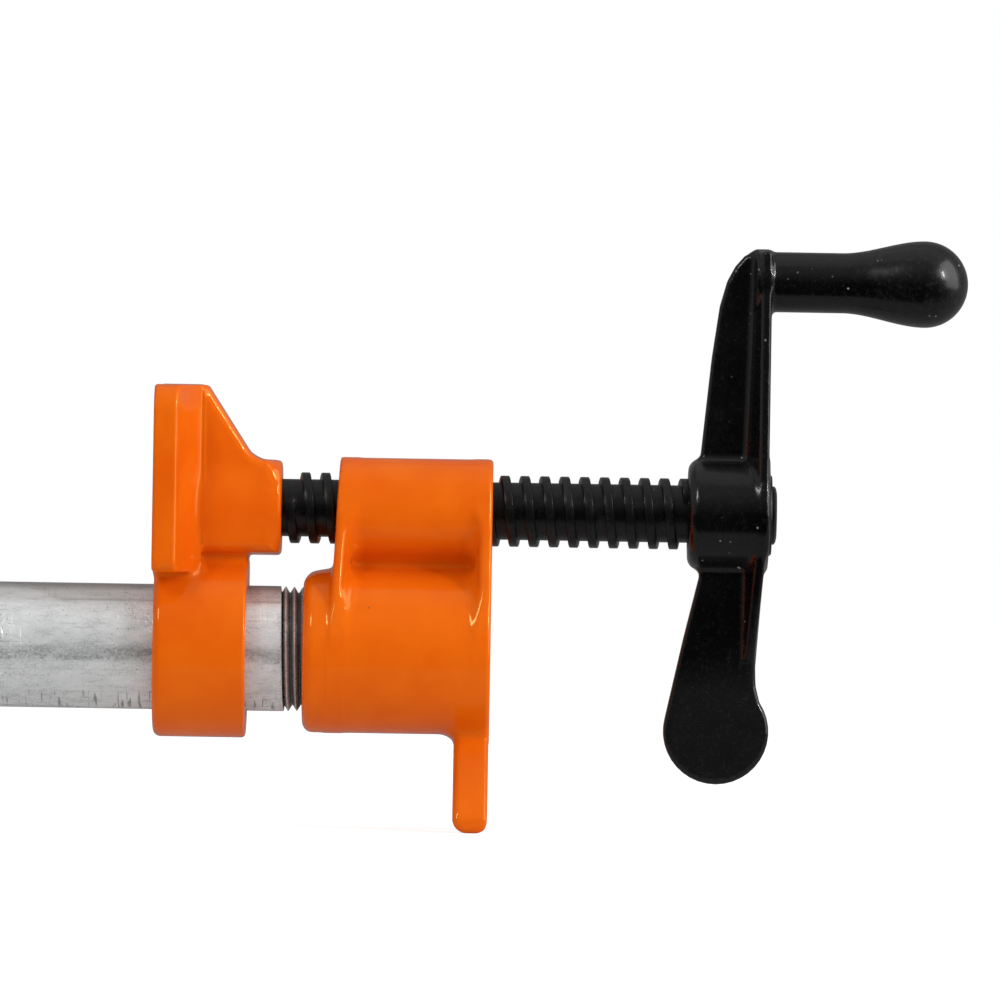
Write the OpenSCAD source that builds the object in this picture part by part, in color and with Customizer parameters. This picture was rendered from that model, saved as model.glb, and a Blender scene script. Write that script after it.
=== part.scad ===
// Woodworking pipe clamp on a length of steel pipe.
// The pipe's axis is X. The crank end is towards +X, the tail stop towards -X, and Z is up.
// The origin is on the pipe's axis, at the mouth of the head's pipe socket.

/* [Pipe] */
// Outside diameter of the pipe
pipe_od = 26.67; // [26:0.01:27.5]
// Wall of the pipe
pipe_wall = 2.87; // [2.2:0.01:3.2]
// Overall length of the pipe, threads included
pipe_len = 304.8; // [290:0.1:1200]
// Length of pipe that is screwed into the head
pipe_engaged = 15; // [12:0.5:16]
// Length of the taper thread cut on each end of the pipe
pipe_thread_len = 19.5; // [17:0.5:24]
// Pitch of the pipe's thread
pipe_pitch = 1.814; // [1.4:0.001:2.2]
// Depth of the pipe's thread
pipe_thread_depth = 1.4; // [0.8:0.05:1.5]

/* [Screw] */
// Height of the screw's axis above the pipe's axis
screw_rise = 30; // [29.5:0.1:34]
// Outside diameter of the screw's thread
screw_d = 15.1; // [14:0.1:16]
// Pitch of the screw's thread
screw_pitch = 4.233; // [3.8:0.001:4.8]
// Depth of the screw's thread
screw_thread_depth = 1.45; // [1:0.05:1.6]
// Width of the thread's flat crest
screw_crest = 1.9; // [1.4:0.1:2.2]
// Slope of the thread's flanks
screw_flank = 17; // [10:1:20]
// Diameter of the screw's nose, which the retaining ring holds in the jaw
nose_d = 8; // [7:0.1:9]
// Across flats of the square tang in the crank's hub
tang = 8.4; // [7.5:0.1:8.6]

/* [Head] */
// Length of the head casting
head_len = 39.8; // [37:0.1:46]
// Wall round the pipe socket
socket_wall = 4.4; // [3.6:0.1:5]
// Depth of the threaded part of the pipe socket
socket_depth = 17.5; // [17:0.1:20]
// Wall round the screw's nut thread
nut_wall = 3.4; // [3:0.1:4]
// Distance from the socket's mouth to the nut boss's face
nut_setback = 7.2; // [6:0.1:9]
// Thickness of the flange at the nut boss's face
front_flange = 3; // [2:0.1:4]
// Thickness of the flange at the crank end
rear_flange = 4; // [3:0.1:5]
// Height of the pipe's axis above the bench
stand_height = 38.1; // [37:0.1:42]
// Thickness of each foot along the pipe
foot_t = 7.6; // [6:0.1:8.5]
// Overall width of each foot
foot_w = 38; // [34:1:46]
// Radius of the arch between the toes of a foot
foot_arch = 9.5; // [7:0.1:10]

/* [Jaws] */
// Width of the jaw faces
jaw_w = 44; // [41:1:50]
// Height of the jaw faces' top edge above the pipe's surface
throat = 42.6; // [41.5:0.1:50]
// Height of the jaw faces' bottom edge above the pipe's surface
face_bottom = 2.6; // [2:0.1:4]
// Thickness of the jaw pads
pad_t = 5.1; // [4.4:0.1:6]
// Radius of the jaw pads' top corners
pad_corner = 6; // [4:0.5:8]
// Length of the moving jaw, from its face to the end of its boss
jaw_len = 27.8; // [26:0.1:30]
// Length of the moving jaw's ring on the pipe
ring_len = 20; // [16:0.1:22]
// Wall of the rings that slide on the pipe
ring_wall = 5.7; // [4.5:0.1:6]
// Wall of the moving jaw's boss round the screw's neck
boss_wall = 3.9; // [3:0.1:4.2]
// Depth of the recess in the jaw's face that hides the retaining ring
recess_depth = 5.4; // [5:0.1:6]
// Diameter of that recess
recess_d = 16; // [15:0.1:17]
// Gap between the moving jaw's boss and the head, as photographed
jaw_gap = 11.6; // [8:0.1:16]
// Opening between the two jaw faces, as stored
opening = 158; // [130:1:160]

/* [Crank] */
// Distance from the crank's hub to the head, as photographed
crank_gap = 42.4; // [40:0.1:48]
// Length of the crank's hub
hub_len = 16; // [14:0.1:18]
// Diameter of the crank's hub
hub_d = 23.6; // [22:0.1:25]
// Distance from the screw's axis to the knob's axis
crank_reach = 49.6; // [46:0.1:53]
// Diameter of the knob's neck
knob_neck_d = 12.8; // [11:0.1:14]
// Diameter of the knob's round end
knob_end_d = 18.4; // [16:0.1:19]
// Length of the knob
knob_len = 41.8; // [36:0.1:48]
// Distance from the screw's axis to the paddle's centre
paddle_reach = 46.1; // [43:0.1:49]
// Diameter of the paddle
paddle_d = 22.4; // [20:0.1:24]
// Thickness of the crank's web and paddle
web_t = 6.4; // [5:0.1:8]
// Thickness of the crank's back flange
crank_flange = 2.4; // [2:0.1:3.5]
// Diameter of the washer under the screw's riveted end
rivet_washer_d = 17.2; // [15:0.1:19]
// Thickness of that washer
rivet_washer_t = 0.9; // [0.6:0.1:1.5]

/* [Tail stop] */
// Length of the tail stop's front ring
tail_ring_len = 15; // [12:0.1:15.2]
// Length of the tail stop's rear ring
rear_ring_len = 8; // [6:0.1:10]
// Wall of the tail stop's rear ring
rear_ring_wall = 4.2; // [4:0.1:5.5]
// Distance from the tail jaw's face to the edge that the clutch plates hang from
plate_stop = 22.3; // [22.2:0.1:26]
// Height of that edge above the pipe's axis
plate_pivot = 27.4; // [26:0.1:29]
// Number of clutch plates
plate_count = 4; // [3:1:4]
// Thickness of a clutch plate
plate_t = 2.6; // [2.2:0.1:2.7]
// Lean of the clutch plates when they grip the pipe
plate_lean = 8; // [6:0.5:8.5]
// Drop of the clutch plates' finger tabs below the pipe's axis
plate_drop = 33; // [30:0.5:35]
// Free space for the spring behind the last plate's top
spring_room = 7.6; // [7:0.1:10]
// Mean diameter of the clutch spring
spring_d = 32.4; // [32:0.1:32.8]
// Diameter of the spring's wire
spring_wire = 1.8; // [1.2:0.1:1.8]
// Thickness of the tail stop's spine above the plates
spine_t = 5.6; // [4:0.1:8]
// Width of the tail stop's spine
spine_w = 16; // [13:0.5:20]

/* [Clearances] */
// Gap between a thread's crests and the hole that it is screwed into
thread_gap = 0.2; // [0.15:0.01:0.3]
// Gap between a sliding ring and the pipe
slide_gap = 0.4; // [0.2:0.05:0.5]
// Gap between pieces that turn on each other
turn_gap = 0.15; // [0.1:0.01:0.2]

/* [Hidden] */
$fn = 64;

ORANGE = [0.92, 0.34, 0.04];
BLACK = [0.06, 0.06, 0.065];
GALVANISED = [0.70, 0.72, 0.73];
STEEL = [0.58, 0.58, 0.60];

over = 1;                                   // how far a cutter runs past the face that it cuts
blend = 0.3;                                // how far two blended shapes stand into or off each other
relief = 0.12;                              // how far a rod is turned down at a thread's ends
lap = 0.15;                                 // how far a plain rod runs into its threaded end
HULL_FN = 32;

pipe_r = pipe_od / 2;
bore_r = pipe_r - pipe_wall;                // inside of the pipe
pipe_x1 = pipe_engaged;                     // head end of the pipe
pipe_x0 = pipe_x1 - pipe_len;               // tail end of the pipe
pipe_taper = 1 / 32;                        // slope of the taper thread's radius
pipe_seg = 24;                              // columns in one turn of the pipe's thread

screw_r = screw_d / 2;
root_r = screw_r - screw_thread_depth;
screw_base = screw_crest + 2 * screw_thread_depth * tan(screw_flank);
screw_seg = 24;                             // columns in one turn of the screw's thread
nut_r = screw_r + nut_wall;
socket_r = pipe_r + socket_wall;

boss_r = root_r + turn_gap + boss_wall;
ring_r = pipe_r + ring_wall;
jaw_x1 = nut_setback - jaw_gap;             // end of the moving jaw's boss
jaw_x0 = jaw_x1 - jaw_len;                  // face of the moving jaw
face_top = pipe_r + throat;
face_low = pipe_r + face_bottom;
ring_step = 0.5;                            // the rings lie this far behind the jaw faces
pad_slope = 4.2;                            // length of the slope behind a pad
web_half = boss_r - 1.2;                    // half width of the rib behind a pad

neck_floor = jaw_x0 + recess_depth + 4.6;   // floor of the socket that takes the screw's thrust
washer_t = 1.2;
nose_r = nose_d / 2;
ring_t = 1.1;                               // thickness of the retaining ring
groove = 0.7;                               // depth of the retaining ring's groove
nose_end = jaw_x0 + 1;

crank_x0 = head_len + crank_gap;            // face of the crank's hub towards the head
crank_x1 = crank_x0 + hub_len;              // back face of the crank
rivet_r = root_r + 0.1;
rivet_t = 1.1;
hub_r = hub_d / 2;

tail_x = jaw_x0 - opening;                  // face of the tail jaw
slot_top = plate_pivot + 0.9;
plate_step = plate_t + 0.15;                // spacing of the clutch plates
plate_clear = 0.1;                          // gap between the stop edge and the first plate
last_plate_back = plate_stop + plate_clear + (plate_count - 1) * plate_step + plate_t / cos(plate_lean);
slot_end = last_plate_back + 0.45;
rear_ring_front = last_plate_back + spring_room;
tail_len = rear_ring_front + rear_ring_len;
rear_ring_r = pipe_r + rear_ring_wall;
hole_slack = 0.25;                          // gap above and below the pipe in a leaning plate
hole_r = (pipe_od + plate_t * sin(plate_lean) + 2 * hole_slack) / cos(plate_lean) / 2;

// Points of a circular arc, from angle a0 to angle a1
function arc(centre, r, a0, a1, n = 6) =
    [for (i = [0:n]) centre + r * [cos(a0 + (a1 - a0) * i / n), sin(a0 + (a1 - a0) * i / n)]];

// Cylinder along X
module rod(r, x0, x1) {
    translate([x0, 0, 0]) rotate([0, 90, 0]) cylinder(r = r, h = x1 - x0);
}

// Cone along X
module taper(r0, r1, x0, x1) {
    translate([x0, 0, 0]) rotate([0, 90, 0]) cylinder(r1 = r0, r2 = r1, h = x1 - x0);
}

// Shape turned about X, from points of [radius, x]
module turned(profile) {
    rotate([0, 90, 0]) rotate_extrude() polygon(profile);
}

// Drawing in Y and Z, extruded along X
module along(x0, x1) {
    translate([x0, 0, 0]) rotate([90, 0, 90]) linear_extrude(x1 - x0) children();
}

// Drawing in X and Z, extruded evenly to both sides of the plane Y = 0
module across(width) {
    rotate([90, 0, 0]) linear_extrude(width, center = true) children();
}

// Closed threaded rod along X, as one helical surface. Each station of the helix has four points,
// across the ridge of the thread. The ridge runs out to radius end0 or end1 at the rod's two ends,
// and the radius falls by slope for each millimetre that x lies past the rod's thick end.
module threaded_rod(x0, x1, root, crest, end0, end1, crest_w, base_w, pitch, first_x, start_angle,
                    stations, seg, fade0, fade1, slope = 0, thick_end = 0) {
    last = stations;
    offset = [-base_w / 2, -crest_w / 2, crest_w / 2, base_w / 2];
    function grow(x) = -slope * abs(x - thick_end);
    function share(j) = min(1, j / seg / fade0, (last - j) / seg / fade1);
    function finish(j) = j < last / 2 ? end0 : end1;
    function radius(j, m) = let (full = (m == 0 || m == 3) ? root : crest)
        finish(j) + (full - finish(j)) * max(0, share(j));
    function place(x, r, j) = let (a = start_angle + 360 * j / seg, q = r + grow(x))
        [x, -q * sin(a), q * cos(a)];
    function at(j, m) = 4 * j + m;
    count = 4 * (last + 1);
    function ring0(j) = count + (j % seg);
    function ring1(j) = count + seg + (j % seg);
    points = concat(
        [for (j = [0:last], m = [0:3]) place(first_x + pitch * j / seg + offset[m], radius(j, m), j)],
        [for (j = [0:seg - 1]) place(x0, end0, j)],
        [for (j = [0:seg - 1]) place(x1, end1, j)]
    );
    ridge = [for (j = [0:last - 1], m = [0:2]) each [
        [at(j, m), at(j, m + 1), at(j + 1, m + 1)],
        [at(j, m), at(j + 1, m + 1), at(j + 1, m)]
    ]];
    valley = [for (j = [0:last - seg - 1]) each [
        [at(j, 3), at(j + seg, 0), at(j + 1 + seg, 0)],
        [at(j, 3), at(j + 1 + seg, 0), at(j + 1, 3)]
    ]];
    entry = [for (j = [0:seg - 2]) each [
        [ring0(j), at(j, 0), at(j + 1, 0)],
        [ring0(j), at(j + 1, 0), ring0(j + 1)]
    ]];
    entry_seam = [[ring0(seg - 1), at(seg - 1, 0), at(seg, 0), at(0, 3), at(0, 2), at(0, 1), at(0, 0),
        ring0(0)]];
    first = last - seg;
    exit = [for (j = [first + 1:last - 1]) each [
        [at(j, 3), ring1(j), ring1(j + 1)],
        [at(j, 3), ring1(j + 1), at(j + 1, 3)]
    ]];
    exit_seam = [[at(first, 3), at(last, 0), at(last, 1), at(last, 2), at(last, 3), ring1(last),
        ring1(first + 1), at(first + 1, 3)]];
    caps = [[for (j = [0:seg - 1]) ring0(j)], [for (j = [seg - 1:-1:0]) ring1(j)]];
    polyhedron(points, concat(ridge, valley, entry, entry_seam, exit, exit_seam, caps), convexity = 20);
}

// Taper-threaded end of the pipe, which starts at X = 0 where the full pipe ends and runs to +X
module pipe_thread() {
    crest_w = 0.2;
    lead = 1.6;                             // plain stretch before the first ridge
    stations = floor((pipe_thread_len - 2 * lead) / pipe_pitch * pipe_seg);
    threaded_rod(x0 = 0, x1 = pipe_thread_len, root = pipe_r - pipe_thread_depth, crest = pipe_r,
        end0 = pipe_r - relief, end1 = pipe_r - pipe_thread_depth, crest_w = crest_w, base_w = pipe_pitch - crest_w,
        pitch = pipe_pitch, first_x = lead, start_angle = 0, stations = stations, seg = pipe_seg,
        fade0 = 0.5, fade1 = 0.5, slope = pipe_taper);
}

module pipe() {
    color(GALVANISED)
    difference() {
        union() {
            rod(pipe_r, pipe_x0 + pipe_thread_len - lap, pipe_x1 - pipe_thread_len + lap);
            translate([pipe_x1 - pipe_thread_len, 0, 0]) pipe_thread();
            translate([pipe_x0 + pipe_thread_len, 0, 0]) mirror([1, 0, 0]) mirror([0, 1, 0]) pipe_thread();
        }
        rod(bore_r, pipe_x0 - over, pipe_x1 + over);
    }
}

// Flared foot with two toes, drawn under a casting between X = 0 and X = foot_t
module foot(top) {
    toe = 2;                                // rounding of the toes' ends
    half = foot_w / 2;
    waist = top * 0.4;                      // half width where the foot leaves the casting
    intersection() {
        along(0, foot_t) difference() {
            polygon([
                [-waist, -top * 0.7], [-waist, -top], [-half, -stand_height + 3], [-half + 1, -stand_height],
                [half - 1, -stand_height], [half, -stand_height + 3], [waist, -top], [waist, -top * 0.7]
            ]);
            translate([0, -stand_height]) circle(r = foot_arch);
        }
        across(foot_w + 2 * over) polygon(concat(
            [[0, 0], [0, -stand_height + toe]],
            arc([toe, -stand_height + toe], toe, 180, 270),
            arc([foot_t - toe, -stand_height + toe], toe, 270, 360),
            [[foot_t, 0]]
        ));
    }
}

module head_casting() {
    rim = 3.2;                              // rounding of the socket's mouth
    foot_x = head_len - foot_t - 0.6;
    color(ORANGE)
    difference() {
        union() {
            turned(concat(
                [[0, 0], [socket_r - rim, 0]],
                [for (p = arc([socket_r - rim, rim], rim, -90, 0)) p],
                [[socket_r, head_len], [0, head_len]]
            ));
            translate([0, 0, screw_rise]) rod(nut_r, nut_setback, head_len);
            for (flange = [[nut_setback, front_flange], [head_len - rear_flange, rear_flange]])
                along(flange[0], flange[0] + flange[1]) hull() {
                    circle(r = socket_r + blend, $fn = HULL_FN);
                    translate([0, screw_rise]) circle(r = nut_r + blend, $fn = HULL_FN);
                }
            along(nut_setback + blend, head_len - blend)
                translate([-nut_r * 0.64, pipe_r]) square([nut_r * 1.28, screw_rise - pipe_r]);
            translate([foot_x, 0, 0]) foot(socket_r);
        }
        taper(pipe_r + thread_gap + over * pipe_taper,
              pipe_r + thread_gap - socket_depth * pipe_taper, -over, socket_depth);
        rod(bore_r + blend, socket_depth - over, head_len + over);
        translate([0, 0, screw_rise]) rod(screw_r + thread_gap, nut_setback - over, head_len + over);
    }
}

// Jaw pad with its face at X = 0, the slope behind it, and its rib. rib is the rib's outline in X and Z.
module jaw_pad(rib) {
    half = jaw_w / 2;
    lower = 2.5;                            // rounding of the lower corners
    along(0, pad_t) {
        translate([-half, face_low + lower]) square([jaw_w, face_top - face_low - lower - pad_corner]);
        translate([-half + pad_corner, face_top - pad_corner - over])
            square([jaw_w - 2 * pad_corner, pad_corner + over]);
        translate([-half + lower, face_low]) square([jaw_w - 2 * lower, lower + over]);
        for (side = [-1, 1]) {
            translate([side * (half - pad_corner), face_top - pad_corner]) circle(r = pad_corner);
            translate([side * (half - lower), face_low + lower]) circle(r = lower);
        }
    }
    translate([0, 0, face_low + blend]) linear_extrude(face_top - face_low - 2 * blend - pad_corner / 2)
        polygon([
            [pad_t - over, -half + 1.5], [pad_t, -half + 1.5], [pad_t + pad_slope, -web_half],
            [pad_t + pad_slope, web_half], [pad_t, half - 1.5], [pad_t - over, half - 1.5]
        ]);
    across(2 * web_half) polygon(rib);
}

// Ring of a jaw, with eased rims
module slide_ring(r, x0, x1) {
    ease = 1;
    turned([[0, x0], [r - ease, x0], [r, x0 + ease], [r, x1 - ease], [r - ease, x1], [0, x1]]);
}

module jaw_casting() {
    shoulder = face_top - 0.6;
    slope_x = 12;                           // where the rib's sloping back starts
    ring_x0 = jaw_x0 + ring_step;
    color(ORANGE)
    difference() {
        union() {
            translate([jaw_x0, 0, 0]) jaw_pad([
                [pad_t - over, face_low + 1], [pad_t - over, shoulder], [slope_x, shoulder],
                [jaw_len - 7.5, screw_rise + boss_r + 2.6], [jaw_len - 5.6, screw_rise + boss_r + 1],
                [jaw_len - 2.6, screw_rise + boss_r - 1.2], [jaw_len - 2.6, screw_rise - 4],
                [ring_len, face_low + 1]
            ]);
            slide_ring(ring_r, ring_x0, ring_x0 + ring_len);
            translate([0, 0, screw_rise]) turned([
                [0, jaw_x0 + pad_t], [boss_r, jaw_x0 + pad_t], [boss_r, jaw_x1 - 1.2],
                [boss_r - 1.2, jaw_x1], [0, jaw_x1]
            ]);
            along(ring_x0 + blend, ring_x0 + ring_len - blend)
                translate([-web_half - 0.6, pipe_r]) square([2 * web_half + 1.2, screw_rise - pipe_r - blend]);
        }
        rod(pipe_r + slide_gap, jaw_x0 - over, jaw_x1 + over);
        translate([0, 0, screw_rise]) {
            rod(root_r + turn_gap, neck_floor, jaw_x1 + over);
            rod(nose_r + turn_gap, jaw_x0, neck_floor + over);
            rod(recess_d / 2, jaw_x0 - over, jaw_x0 + recess_depth);
        }
    }
}

module screw() {
    first_x = jaw_x1 + screw_base / 2 + 0.4;
    shank_x0 = neck_floor + washer_t + turn_gap / 3;
    thread_x0 = first_x - screw_base / 2 - 0.3;
    turns = (crank_x0 - 0.1 - screw_base / 2 - first_x) / screw_pitch;
    ring_x = jaw_x0 + recess_depth - washer_t - ring_t - 0.3;
    shank_r = root_r + 0.04;
    rivet_x = crank_x1 + rivet_washer_t;
    color(BLACK)
    translate([0, 0, screw_rise]) {
        threaded_rod(x0 = thread_x0, x1 = crank_x0, root = root_r, crest = screw_r,
            end0 = root_r - relief, end1 = root_r - relief, crest_w = screw_crest, base_w = screw_base, pitch = screw_pitch,
            first_x = first_x, start_angle = 120, stations = floor(turns * screw_seg), seg = screw_seg,
            fade0 = 0.3, fade1 = 0.3);
        turned([
            [0, nose_end], [nose_r - 0.4, nose_end], [nose_r, nose_end + 0.4], [nose_r, ring_x],
            [nose_r - groove, ring_x], [nose_r - groove, ring_x + ring_t + 0.2], [nose_r, ring_x + ring_t + 0.2],
            [nose_r, shank_x0], [shank_r, shank_x0], [shank_r, thread_x0 + lap], [0, thread_x0 + lap]
        ]);
        along(crank_x0 - over, rivet_x + rivet_t * 0.3) square(tang, center = true);
        turned([
            [0, rivet_x], [rivet_r, rivet_x], [rivet_r, rivet_x + rivet_t * 0.4],
            [rivet_r - 1, rivet_x + rivet_t], [0, rivet_x + rivet_t]
        ]);
    }
}

// Flat washer on the screw's axis
module washer(outer, inner, x, t) {
    translate([0, 0, screw_rise]) difference() {
        rod(outer, x, x + t);
        rod(inner, x - over, x + t + over);
    }
}

module thrust_washer() {
    color(STEEL) washer(root_r, nose_r + turn_gap, neck_floor + turn_gap / 3, washer_t - turn_gap / 3);
}

module nose_washer() {
    x = jaw_x0 + recess_depth - washer_t;
    color(STEEL) washer(recess_d / 2 - 1, nose_r + turn_gap, x - turn_gap / 3, washer_t);
}

// Open ring that snaps into the groove of the screw's nose
module retaining_ring() {
    ring_x = jaw_x0 + recess_depth - washer_t - ring_t - 0.3;
    mouth = 5;
    color(STEEL)
    difference() {
        washer(nose_r + 2.4, nose_r - groove + turn_gap, ring_x + 0.1, ring_t);
        translate([ring_x - over, -mouth / 2, screw_rise]) cube([ring_t + 2 * over, mouth, nose_r + 3]);
    }
}

// Outline of the crank's web in X and Z, about the screw's axis: the arm up to the knob, and the
// arm down to the paddle
module crank_web() {
    x0 = crank_x0 + 1.3;
    crown = crank_reach + knob_neck_d / 2 - 0.3;
    paddle_x = crank_x0 + 5.7;
    paddle_r = paddle_d / 2;
    polygon(concat(
        [[x0 - 0.4, 0], [x0, hub_r], [x0 + 2.4, crank_reach * 0.67], [x0 + 5, crown - 9]],
        [[x0 + 6.7, crown - 5], [x0 + 9, crown - 1.4], [x0 + 11, crown]],
        [[crank_x1 - 0.5, crown], [crank_x1 - 0.5, 0]]
    ));
    polygon([
        [x0, 0], [x0 + 0.3, -hub_r], [paddle_x - paddle_r + 0.6, -paddle_reach + 3],
        [paddle_x, -paddle_reach], [crank_x1 - 0.9, -paddle_reach + 8.4], [crank_x1 - 2.1, -paddle_reach + 13],
        [crank_x1 - 1.6, -hub_r], [crank_x1 - 0.6, 0]
    ]);
    translate([paddle_x, -paddle_reach]) circle(r = paddle_r);
}

// Knob on the crank's axis of reach, with a waist that swells to a ball
module crank_knob() {
    ball_r = knob_end_d / 2;
    neck_r = knob_neck_d / 2;
    ball_x = crank_x1 + knob_len - ball_r;
    swell_x = crank_x1 + knob_len * 0.4;
    swell = [for (i = [0:8]) [neck_r + (ball_r - neck_r) * (1 - cos(180 * i / 8)) / 2,
        swell_x + (ball_x - swell_x) * i / 8]];
    turned(concat(
        [[0, crank_x1 - 3], [neck_r, crank_x1 - 3], [neck_r, crank_x1]],
        swell,
        [for (i = [1:5]) [ball_r * cos(18 * i), ball_x + ball_r * sin(18 * i)]]
    ));
}

module crank_casting() {
    flange_top = crank_reach + knob_neck_d / 2 - 1;
    flange_low = -paddle_reach + 12;
    color(BLACK)
    translate([0, 0, screw_rise])
    difference() {
        union() {
            across(web_t) crank_web();
            turned([
                [0, crank_x0], [hub_r - 2.4, crank_x0], [hub_r, crank_x0 + 1.4],
                [hub_r, crank_x1 - blend], [0, crank_x1 - blend]
            ]);
            along(crank_x1 - crank_flange, crank_x1 - 0.05) polygon([
                [-hub_r + 0.6, 0], [-knob_neck_d / 2 + 0.2, flange_top - 5], [-knob_neck_d / 2 + 1.4, flange_top],
                [knob_neck_d / 2 - 1.4, flange_top], [knob_neck_d / 2 - 0.2, flange_top - 5], [hub_r - 0.6, 0]
            ]);
            along(crank_x1 - crank_flange - 1.2, crank_x1 - 1.5) polygon([
                [-hub_r + 0.6, 0], [hub_r - 0.6, 0], [web_t / 2 + 0.1, flange_low], [-web_t / 2 - 0.1, flange_low]
            ]);
            translate([0, 0, crank_reach]) crank_knob();
        }
        along(crank_x0 - over, crank_x1 + over) square(tang + turn_gap, center = true);
        rod(rivet_washer_d / 2 + over, crank_x1, crank_x1 + over);
    }
}

module rivet_washer() {
    color(BLACK) translate([0, 0, screw_rise]) difference() {
        rod(rivet_washer_d / 2, crank_x1 + turn_gap / 3, crank_x1 + rivet_washer_t - turn_gap / 3);
        along(crank_x1 - over, crank_x1 + 2 * over) square(tang + turn_gap, center = true);
    }
}

// The tail stop is drawn facing -X with its face at X = 0, and turned round into place
module tail_casting() {
    spine_top = slot_top + spine_t;
    lean_room = tan(plate_lean + 4);        // the stop's face falls away more than the plates lean
    stop_low = 14;
    color(ORANGE)
    translate([tail_x, 0, 0]) mirror([1, 0, 0])
    difference() {
        union() {
            jaw_pad([
                [pad_t - over, face_low + 1], [pad_t - over, face_top - 0.6], [12, face_top - 0.6],
                [plate_stop + 4, spine_top + 2], [plate_stop + 7, spine_top], [plate_stop, slot_top],
                [plate_stop - 6, stop_low]
            ]);
            slide_ring(ring_r, ring_step, tail_ring_len);
            slide_ring(rear_ring_r, rear_ring_front, tail_len);
            across(spine_w) difference() {
                polygon([
                    [pad_t, stop_low], [pad_t, spine_top + 6], [plate_stop, spine_top + 1],
                    [plate_stop + 6, spine_top], [tail_len - 5, spine_top], [tail_len - 1.6, spine_top - 3],
                    [tail_len - blend, spine_top - 7], [tail_len - blend, stop_low]
                ]);
                polygon([
                    [tail_ring_len - blend, 0], [tail_ring_len - blend, pipe_r + 2.4],
                    [plate_stop - (plate_pivot - pipe_r - 2.4) * lean_room, pipe_r + 2.4],
                    [plate_stop, plate_pivot - 0.4], [plate_stop, slot_top], [slot_end, slot_top],
                    [slot_end, rear_ring_r + 1.5], [rear_ring_front + blend, rear_ring_r + 1.5],
                    [rear_ring_front + blend, 0]
                ]);
            }
            translate([3.2, 0, 0]) foot(ring_r);
        }
        rod(pipe_r + slide_gap, -over, tail_len + over);
    }
}

// One clutch plate, hung from its top front edge and leaning by plate_lean. It is drawn upright,
// with that edge on the line X = 0, Z = 0, and the tail jaw's side towards +X.
module clutch_plate(index) {
    rise = plate_pivot * (1 / cos(plate_lean) - 1) - plate_t / 2 * tan(plate_lean);
    collar = hole_r + 5.2;
    tab = 10;                               // half width of the finger tab
    x = tail_x - plate_stop - plate_clear - (index - 1) * plate_step;
    color(STEEL)
    translate([x, 0, plate_pivot]) rotate([0, -plate_lean, 0]) translate([0, 0, -plate_pivot])
    along(-plate_t, 0) difference() {
        union() {
            translate([0, -rise]) circle(r = collar);
            translate([-tab - 2, 0]) square([2 * tab + 4, plate_pivot]);
            translate([-tab, -plate_drop + 3]) square([2 * tab, plate_drop]);
            translate([-tab + 3, -plate_drop]) square([2 * tab - 6, plate_drop]);
            for (side = [-1, 1]) translate([side * (tab - 3), -plate_drop + 3]) circle(r = 3);
        }
        translate([0, -rise]) circle(r = hole_r);
    }
}

// Compression spring round the pipe. Its front follows the leaning plate, and its rear is square.
module clutch_spring() {
    turns = 3;
    seg = 24;
    sides = 8;
    wire = spring_wire / 2;
    mean = spring_d / 2;
    seat = 0.1;                             // gap at each end of the spring
    rear = rear_ring_front - wire - seat;
    function front(z) = last_plate_back - (plate_pivot - z) * tan(plate_lean) + wire / cos(plate_lean) + seat;
    function centre(j) = let (a = 360 * j / seg, z = mean * cos(a), f = j / (turns * seg))
        [tail_x - rear - (front(z) - rear) * f, mean * sin(a), z];
    steps = turns * seg;
    points = [for (j = [0:steps], k = [0:sides - 1]) let (
        a = 360 * j / seg, b = 360 * k / sides, c = centre(j)
    ) [c[0] + wire * cos(b), c[1] + wire * sin(b) * sin(a), c[2] + wire * sin(b) * cos(a)]];
    faces = concat(
        [for (j = [0:steps - 1], k = [0:sides - 1]) let (n = (k + 1) % sides) each [
            [sides * j + k, sides * (j + 1) + k, sides * (j + 1) + n],
            [sides * j + k, sides * (j + 1) + n, sides * j + n]
        ]],
        [[for (k = [0:sides - 1]) k], [for (k = [sides - 1:-1:0]) sides * steps + k]]
    );
    least = min([for (j = [0:steps - seg]) norm(centre(j + seg) - centre(j))]) - spring_wire;
    echo(str("least gap between the spring's coils: ", least, " mm"));
    color(STEEL) polyhedron(points, faces, convexity = 8);
}

pipe();
head_casting();
jaw_casting();
screw();
thrust_washer();
nose_washer();
retaining_ring();
crank_casting();
rivet_washer();
tail_casting();
clutch_plate(1);  // clutch_plate_1
clutch_plate(2);  // clutch_plate_2
clutch_plate(3);  // clutch_plate_3
clutch_plate(4);  // clutch_plate_4
clutch_spring();
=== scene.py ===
"""Looks of the pipe clamp: enamelled castings, black screw, galvanised pipe, and the studio round them."""
import math

import bpy
import numpy as np
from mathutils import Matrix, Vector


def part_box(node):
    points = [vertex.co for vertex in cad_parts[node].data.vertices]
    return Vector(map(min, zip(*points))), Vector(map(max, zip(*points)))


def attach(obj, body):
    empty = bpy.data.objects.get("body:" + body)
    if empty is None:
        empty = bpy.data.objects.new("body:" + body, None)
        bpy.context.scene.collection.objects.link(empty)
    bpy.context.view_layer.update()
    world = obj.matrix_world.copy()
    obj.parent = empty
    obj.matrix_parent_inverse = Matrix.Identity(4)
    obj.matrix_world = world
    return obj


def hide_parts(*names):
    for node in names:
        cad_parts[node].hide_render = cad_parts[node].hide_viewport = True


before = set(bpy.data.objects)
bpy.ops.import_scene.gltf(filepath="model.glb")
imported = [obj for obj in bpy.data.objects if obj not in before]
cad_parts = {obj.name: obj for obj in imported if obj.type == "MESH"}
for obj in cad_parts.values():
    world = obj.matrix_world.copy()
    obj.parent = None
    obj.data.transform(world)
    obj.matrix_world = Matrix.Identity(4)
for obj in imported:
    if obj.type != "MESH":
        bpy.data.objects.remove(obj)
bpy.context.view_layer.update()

import openvdb
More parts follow.
